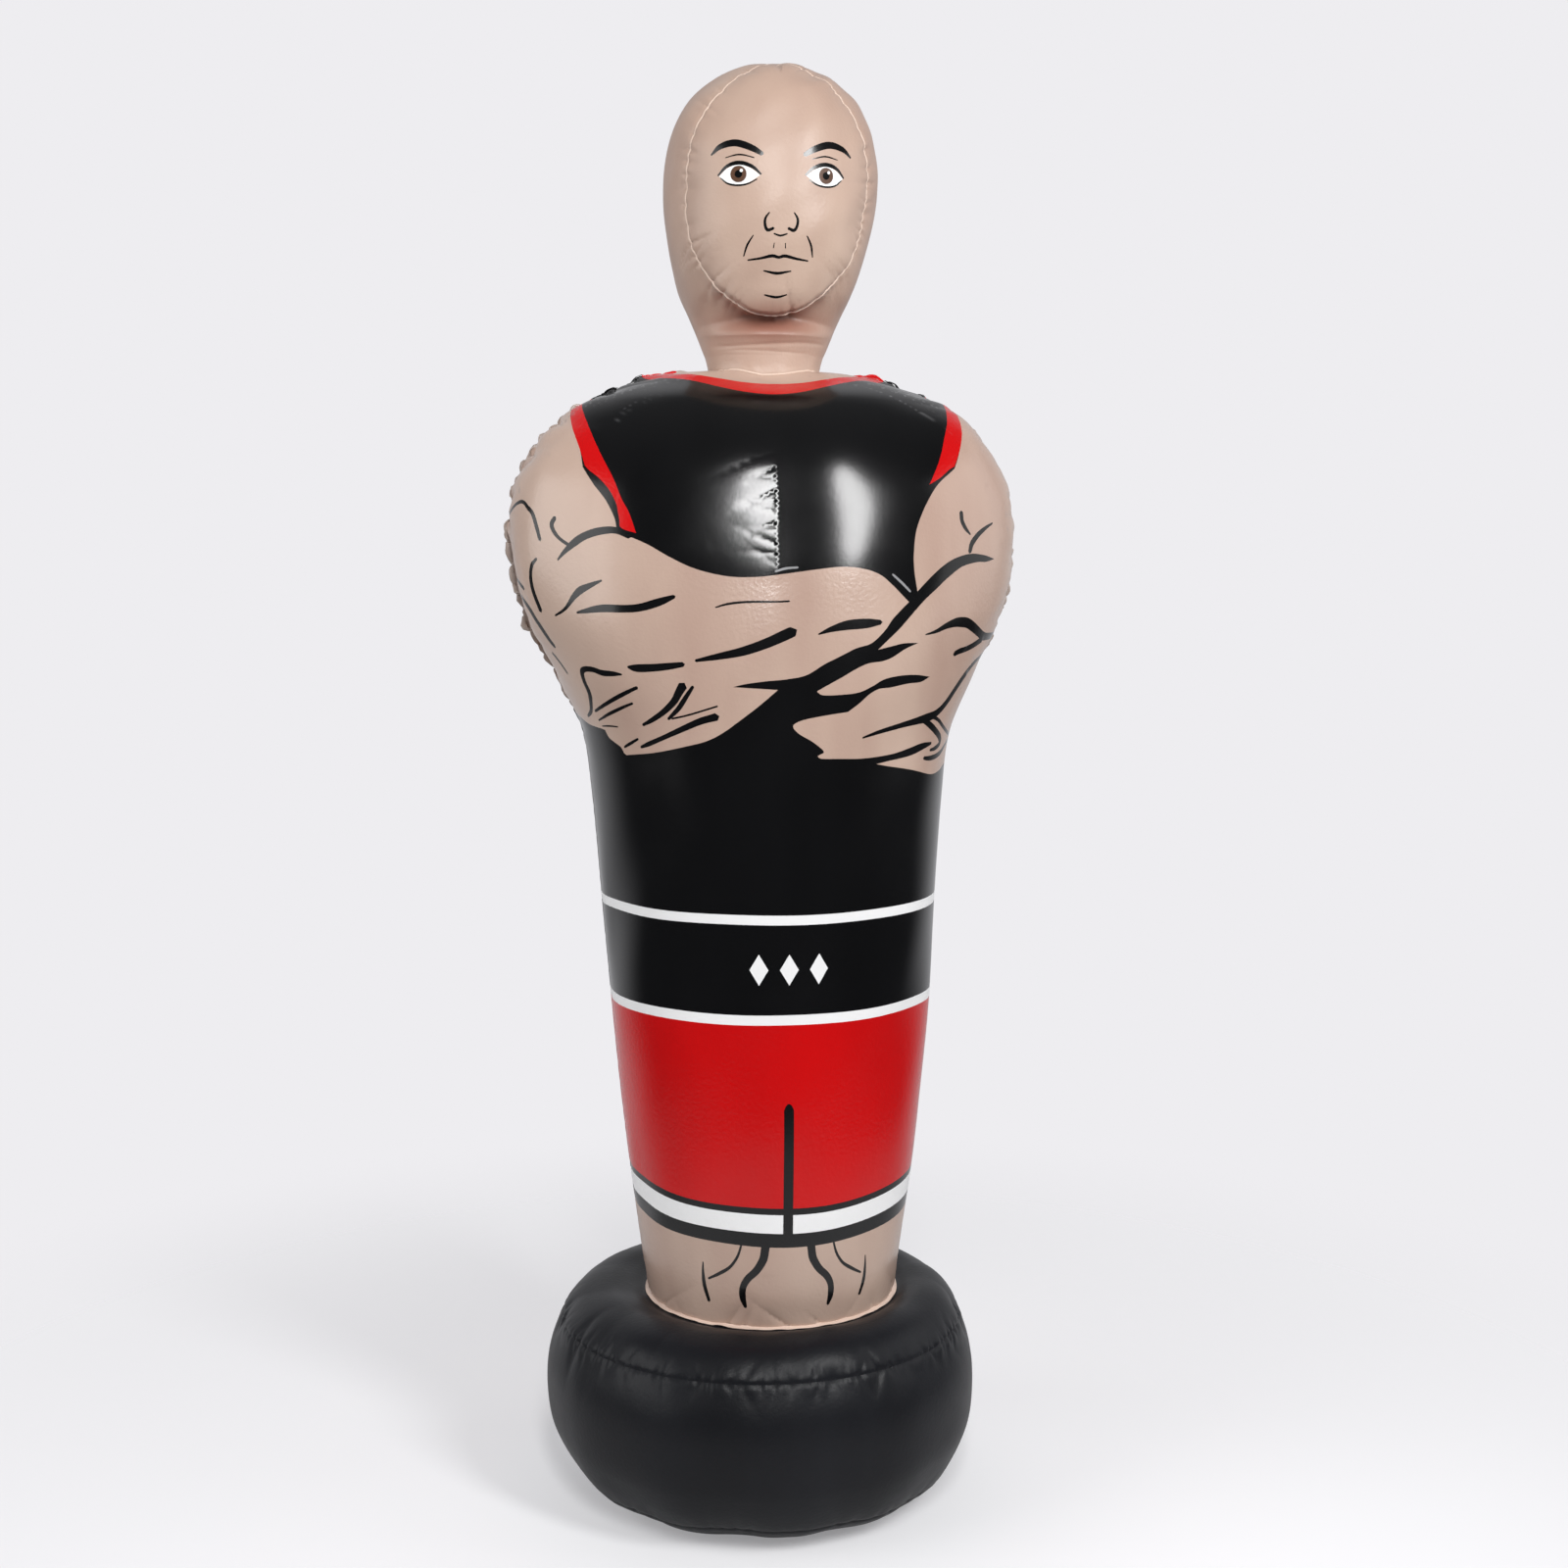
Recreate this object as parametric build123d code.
from build123d import *
import os
from math import atan2, cos, hypot, radians, sin

# Inflatable standing punching dummy: a water-weighted vinyl base that carries an air-filled vinyl figure.
# Millimetres, +Z up. Origin: middle of the patch that the base stands on. The figure faces -Y.

WALL = 1.5  # vinyl wall of the base
FILM = 1.2  # vinyl wall of the figure
GAP = 0.3  # air between walls that move against each other

# Base: half profiles, (radius, height), from the floor patch up to the figure's foot.
FLOOR_PATCH_R = 150.0
LOW_SEAM = (209.0, 30.0)
TOP_SEAM = (230.0, 204.0)
BAND_BULGE = [(236.0, 76.0), (246.0, 116.0), (244.0, 161.0)]
BOTTOM_ROUND = [(185.0, 12.0)]
CROWN = [(218.0, 223.0), (202.0, 235.0), (181.0, 240.0), (162.0, 236.5)]
WATER_LEVEL = 140.0
WATER_EDGE_R = 240.0

# Figure: foot, torso and head.
FOOT_Z = 231.0
FOOT_R = 142.0
FOOT_RIM = 5.0
NECK_Z = 1273.0
NECK_SEAM_Z = 1305.0
HEAD_TOP_Z = 1600.0

# Torso sections: (height, half width, half depth). Round up to the waist, a wide oval at the folded arms.
TORSO = [
    (FOOT_Z + FILM, FOOT_R, FOOT_R),
    (300.0, 151.0, 151.0),
    (453.0, 169.0, 169.0),
    (640.0, 184.0, 182.0),
    (814.0, 197.0, 190.0),
    (880.0, 207.0, 190.0),
    (947.0, 240.0, 188.0),
    (1010.0, 272.0, 183.0),
    (1085.0, 285.0, 174.0),
    (1150.0, 276.0, 160.0),
    (1200.0, 247.0, 140.0),
    (1236.0, 206.0, 118.0),
    (1259.0, 155.0, 94.0),
    (1269.5, 99.0, 73.0),
    (NECK_Z - GAP, 62.0, 59.0),
]

# Neck and head sections: (height, half width, half depth in front, half depth behind).
NECK = [
    (NECK_Z, 59.0, 56.0, 56.0),
    (1290.0, 67.0, 60.0, 63.0),
    (NECK_SEAM_Z - GAP, 73.0, 65.0, 69.0),
]
HEAD = [
    (NECK_SEAM_Z, 73.0, 65.0, 69.0),
    (1326.0, 82.0, 84.0, 79.0),
    (1352.0, 93.0, 100.0, 89.0),
    (1400.0, 108.0, 110.0, 102.0),
    (1460.0, 117.0, 111.0, 108.0),
    (1515.0, 111.5, 104.0, 103.0),
    (1556.0, 93.0, 86.0, 87.0),
    (1582.0, 64.0, 60.0, 60.0),
    (1595.0, 34.0, 33.0, 33.0),
    (HEAD_TOP_Z, 10.0, 10.0, 10.0),
]
FACE_OVAL = (100.0, 134.0)  # half width and half height of the face panel's outline
FACE_OVAL_Z = 1458.0
BACK_OVAL = (92.0, 122.0)
BACK_OVAL_Z = 1462.0

# Base filler: two-stage screw valve in a well, at the back of the side band.
FILLER_Z = 168.0
FILLER_R = 242.6
FILLER_TILT = 13.0
FILLER_FLANGE_R = 26.0
WELL_R = 19.0
WELL_DEPTH = 11.0
SEAT_LENGTH = 14.0
SEAT_WALL = 2.0
INSERT_R = 12.0
INSERT_BORE_R = 9.5
INSERT_NECK_R = 11.0
INSERT_LENGTH = 17.0
GRID_BAR = 2.0
FILLER_FLAP_R = 10.6
CAP_R = 16.0
CAP_HEIGHT = 6.0
LID = 1.8
SCREW_CLEARANCE = 0.1
SEAL_CLEARANCE = 0.05  # between a gasket and the piece that turns on it

# Figure's air valve: pinch valve with a hinged stopper, at the back near the foot.
VALVE_Z = 330.0
VALVE_R = 154.7
VALVE_TILT = -6.5
VALVE_FLANGE_R = 17.0
STEM_R = 6.5
STEM_BORE_R = 4.05
STEM_PROUD = 3.0
STEM_LENGTH = 17.0
STRAP = (5.0, 1.2)  # width and thickness of the stopper's strap and of the tab it hinges on
STRAP_START = 5.0
HINGE_OFFSET = 11.5
VALVE_FLAP_R = 5.2
WELD_CLEARANCE = 0.15  # between a valve flange and the panel round it


def save(part, name):
    part.label = name
    export_step(part, f"parts/{name}.step")


def direction(p, q):
    return (q[0] - p[0], q[1] - p[1])


def wall_normals(points, start_tangent=None, end_tangent=None):
    """Unit normals of an open (radius, height) profile, to the right of its direction of travel."""
    tangents = [direction(p, q) for p, q in zip(points[:-2], points[2:])]
    first = start_tangent or direction(points[0], points[1])
    last = end_tangent or direction(points[-2], points[-1])
    angles = [atan2(up, out) for out, up in [first, *tangents, last]]
    return [(sin(angle), -cos(angle)) for angle in angles]


def revolved_wall(points, start_tangent, end_tangent, thickness=WALL):
    """Thin wall of revolution: the outer face runs smoothly through the points, inside lies to the left."""
    normals = wall_normals(points, start_tangent, end_tangent)
    inner = [(p[0] - n[0] * thickness, p[1] - n[1] * thickness) for p, n in zip(points, normals)]
    tangents = [start_tangent, end_tangent]
    outer_edge = Spline(*points, tangents=tangents)
    inner_edge = Spline(*inner, tangents=tangents)
    ends = [Line(points[0], inner[0]), Line(points[-1], inner[-1])]
    face = make_face([outer_edge, inner_edge, *ends])
    return revolve(Plane.XZ * face, Axis.Z)


def base_panels():
    """Bottom bowl, side band and top panel of the base, seam to seam."""
    low_slope = direction(BOTTOM_ROUND[0], BAND_BULGE[0])
    high_slope = direction(BAND_BULGE[-1], CROWN[0])
    bowl = revolved_wall([(FLOOR_PATCH_R, 0.0), *BOTTOM_ROUND, LOW_SEAM], (1, 0), low_slope)
    floor_patch = Pos(0, 0, WALL / 2) * Cylinder(FLOOR_PATCH_R, WALL)
    band = revolved_wall([LOW_SEAM, *BAND_BULGE, TOP_SEAM], low_slope, high_slope)
    crown_start = (TOP_SEAM[0] - GAP / 2, TOP_SEAM[1] + GAP)
    membrane_z = FOOT_Z - GAP
    rim_r = FOOT_R + FOOT_RIM + 1.0
    membrane_r = rim_r - 8.0
    crown_line = [crown_start, *CROWN, (rim_r, membrane_z), (membrane_r, membrane_z)]
    crown = revolved_wall(crown_line, high_slope, (-1, 0))
    membrane = Pos(0, 0, membrane_z - WALL / 2) * Cylinder(membrane_r, WALL)
    return bowl + floor_patch, band, crown + membrane


def ballast():
    """Water up to its level, just clear of the walls."""
    inset = WALL + 1.0
    floor_r = FLOOR_PATCH_R - inset
    points = [(floor_r, inset), (BOTTOM_ROUND[0][0] - inset, BOTTOM_ROUND[0][1] + inset)]
    points += [(LOW_SEAM[0] - 2 * inset, LOW_SEAM[1] + inset)]
    points += [(r - inset - 1.0, z) for r, z in BAND_BULGE[:2]]
    points += [(WATER_EDGE_R, WATER_LEVEL)]
    outline = Polyline((0, inset), *points, (0, WATER_LEVEL), close=True)
    return revolve(Plane.XZ * make_face(outline), Axis.Z)


def even_sections(stations, spacing):
    """Sections at an even spacing along a smooth curve (cubic Hermite) through the given stations."""
    lengths = [0.0]
    for p, q in zip(stations, stations[1:]):
        lengths.append(lengths[-1] + hypot(q[0] - p[0], q[1] - p[1]))
    last = len(stations) - 1
    slopes = []
    for i in range(last + 1):
        low, high = max(i - 1, 0), min(i + 1, last)
        run = lengths[high] - lengths[low]
        slopes.append([(q - p) / run for p, q in zip(stations[low], stations[high])])
    count = round(lengths[-1] / spacing)
    sections = []
    for k in range(count + 1):
        reach = lengths[-1] * k / count
        i = min(sum(length <= reach for length in lengths) - 1, last - 1)
        step = lengths[i + 1] - lengths[i]
        u = (reach - lengths[i]) / step
        rise = 3 * u**2 - 2 * u**3
        late = u**3 - u**2
        weights = (1 - rise, (late - u**2 + u) * step, rise, late * step)
        ends = zip(stations[i], slopes[i], stations[i + 1], slopes[i + 1])
        sections.append(tuple(sum(w * value for w, value in zip(weights, parts)) for parts in ends))
    return sections


def loft_sections(sections):
    """Smooth solid through two-part ovals: (height, half width, depth ahead, depth behind)."""
    faces = []
    for z, a, ahead, behind in sections:
        front = EllipticalCenterArc((0, 0), a, ahead, start_angle=180, arc_size=180)
        back = EllipticalCenterArc((0, 0), a, behind, start_angle=0, arc_size=180)
        faces.append(Plane(origin=(0, 0, z)) * make_face([front, back]))
    return loft(faces)


def thinned(sections, thickness, open_top):
    """Sections of the inner face, moved in along the wall's normal and run out past each open end."""
    normals = wall_normals([(a, z) for z, a, ahead, behind in sections])
    inner = []
    for (z, a, ahead, behind), (out, up) in zip(sections, normals):
        inset = out * thickness
        inner.append((z - up * thickness, a - inset, ahead - inset, behind - inset))
    inner[0] = (sections[0][0] - 1.0, *inner[0][1:])
    if open_top:
        inner[-1] = (sections[-1][0] + 1.0, *inner[-1][1:])
    return inner


def oval_shell(stations, spacing, open_top=True):
    even = even_sections(stations, spacing)
    return loft_sections(even) - loft_sections(thinned(even, FILM, open_top))


def half_space(side):
    """Everything in front of the side seams (side -1) or behind them (side 1)."""
    return Pos(0, side * 500, 900) * Box(1400, 1000, 1800)


def torso_panels():
    shell = oval_shell([(z, a, depth, depth) for z, a, depth in TORSO], spacing=40.0)
    return shell & half_space(-1), shell & half_space(1)


def oval_prism(radii, centre_z, side):
    """Oval cutter along Y that takes a panel's outline out of the head, in front or behind."""
    return Pos(0, side * 10, centre_z) * extrude(Plane.XZ * Ellipse(*radii), amount=-side * 300)


def head_panels():
    shell = oval_shell(HEAD, spacing=22.0, open_top=False)
    face_cutter = oval_prism(FACE_OVAL, FACE_OVAL_Z, -1)
    back_cutter = oval_prism(BACK_OVAL, BACK_OVAL_Z, 1)
    return shell & face_cutter, shell - face_cutter - back_cutter, shell & back_cutter


def tube(outer, inner, low, high):
    """Upright tube along the local Z axis."""
    ring = Cylinder(outer, high - low) - Cylinder(inner, high - low + 2)
    return Pos(0, 0, (low + high) / 2) * ring


def disc(radius, low, high):
    return Pos(0, 0, (low + high) / 2) * Cylinder(radius, high - low)


def ribbed(solid, radius, low, high, count=24):
    """Adds upright grip ribs round a cap."""
    for i in range(count):
        rib = Pos(radius, 0, (low + high) / 2) * Cylinder(0.5, high - low)
        solid += Rot(0, 0, i * 360 / count) * rib
    return solid


def wall_frame(radius, height, tilt):
    """Local frame on the back wall: local Z points out of the wall, local Y runs up along it."""
    outward = (0, cos(radians(tilt)), sin(radians(tilt)))
    return Plane(origin=(0, radius, height), x_dir=(-1, 0, 0), z_dir=outward)


def filler_parts():
    """Two-stage screw valve, local Z outward, local zero on the band's outer face."""
    floor = -WELL_DEPTH
    bore = INSERT_R + SCREW_CLEARANCE
    seat = tube(FILLER_FLANGE_R, WELL_R, -2.5, 0.4)
    seat += tube(WELL_R + WALL, WELL_R, floor, -0.5)
    seat += tube(WELL_R + WALL, bore, floor - WALL, floor)
    seat += tube(bore + SEAT_WALL, bore, floor - SEAT_LENGTH, floor)

    insert_top = floor + 1.0
    neck_top = insert_top + 5.5
    insert_low = insert_top + 0.5 - INSERT_LENGTH
    insert = tube(INSERT_R + 2.5, INSERT_BORE_R, insert_top, insert_top + LID)
    insert += tube(INSERT_R, INSERT_BORE_R, insert_low, insert_top + 1.0)
    insert += tube(INSERT_NECK_R, INSERT_BORE_R, insert_top + 1.0, neck_top)
    grid = Pos(0, 0, insert_low + GRID_BAR / 2)
    grid_span = 2 * INSERT_BORE_R + 1.0
    insert += grid * Box(grid_span, GRID_BAR, GRID_BAR)
    insert += grid * Box(GRID_BAR, grid_span, GRID_BAR)
    insert_gasket = tube(INSERT_R + 2.4, bore, floor, insert_top - SEAL_CLEARANCE)
    flap = disc(FILLER_FLAP_R, insert_low - GAP - 0.8, insert_low - GAP)

    lid_low = neck_top + 0.8
    lid_top = lid_low + LID
    skirt_low = lid_top - CAP_HEIGHT
    cap_gasket = tube(INSERT_NECK_R, 8.0, neck_top, lid_low - SEAL_CLEARANCE)
    cap = disc(CAP_R, lid_low, lid_top)
    cap += tube(CAP_R, INSERT_NECK_R + SCREW_CLEARANCE, skirt_low, lid_low)
    cap = ribbed(cap, CAP_R, skirt_low, lid_low + 1.0)
    cap -= disc(2.5, lid_top - 0.9, lid_top + 1.0)
    return {
        "filler_seat": seat,
        "filler_insert_gasket": insert_gasket,
        "filler_insert": insert,
        "filler_flap": flap,
        "filler_cap_gasket": cap_gasket,
        "filler_cap": cap,
    }


def valve_parts():
    """Pinch valve, local Z outward, local zero on the panel's outer face, stopper hinged at the top."""
    slide_bore = STEM_R + SCREW_CLEARANCE
    flange = tube(VALVE_FLANGE_R, slide_bore, -2.5, 0.5)
    flange += tube(slide_bore + WALL, slide_bore, -2.5, 1.2)

    foot = STEM_PROUD - STEM_LENGTH
    strap_width, strap_thickness = STRAP
    strap_length = HINGE_OFFSET - GAP - STRAP_START
    strap_middle = STRAP_START + strap_length / 2
    stem = tube(STEM_R, STEM_BORE_R, foot, STEM_PROUD)
    stem += tube(STEM_R + WALL, STEM_BORE_R, foot, foot + 1.2)
    strap = Box(strap_width, strap_length, strap_thickness)
    stem += Pos(0, strap_middle, STEM_PROUD - strap_thickness / 2) * strap

    seat_z = STEM_PROUD + 0.1
    stopper = Pos(0, 0, seat_z - 2.5) * Cone(3.2, STEM_BORE_R - 0.1, 5.0)
    stopper += disc(STEM_R + 0.5, seat_z, seat_z + 1.9)
    stopper += Pos(0, strap_middle, seat_z + strap_thickness / 2) * strap
    flap = disc(VALVE_FLAP_R, foot - GAP - 0.7, foot - GAP)
    return {"valve_flange": flange, "valve_stem": stem, "valve_stopper": stopper, "valve_flap": flap}


def main():
    os.makedirs("parts", exist_ok=True)
    bottom_panel, side_band, top_panel = base_panels()
    front_panel, back_panel = torso_panels()
    face_panel, gusset, head_back = head_panels()

    filler_frame = wall_frame(FILLER_R, FILLER_Z, FILLER_TILT)
    filler = {name: filler_frame * solid for name, solid in filler_parts().items()}
    valve_frame = wall_frame(VALVE_R, VALVE_Z, VALVE_TILT)
    valve = {name: valve_frame * solid for name, solid in valve_parts().items()}
    side_band -= filler_frame * Cylinder(FILLER_FLANGE_R + WELD_CLEARANCE, 50)
    back_panel -= valve_frame * Cylinder(VALVE_FLANGE_R + WELD_CLEARANCE, 50)

    save(bottom_panel, "base_bottom_panel")
    save(side_band, "base_side_band")
    save(top_panel, "base_top_panel")
    save(ballast(), "ballast_water")
    save(disc(FOOT_R + FOOT_RIM, FOOT_Z, FOOT_Z + FILM), "body_bottom_disc")
    save(front_panel, "body_front_panel")
    save(back_panel, "body_back_panel")
    save(oval_shell(NECK, spacing=10.0), "neck_sleeve")
    save(face_panel, "head_face_panel")
    save(gusset, "head_gusset")
    save(head_back, "head_back_panel")
    for name, solid in {**filler, **valve}.items():
        save(solid, name)


main()
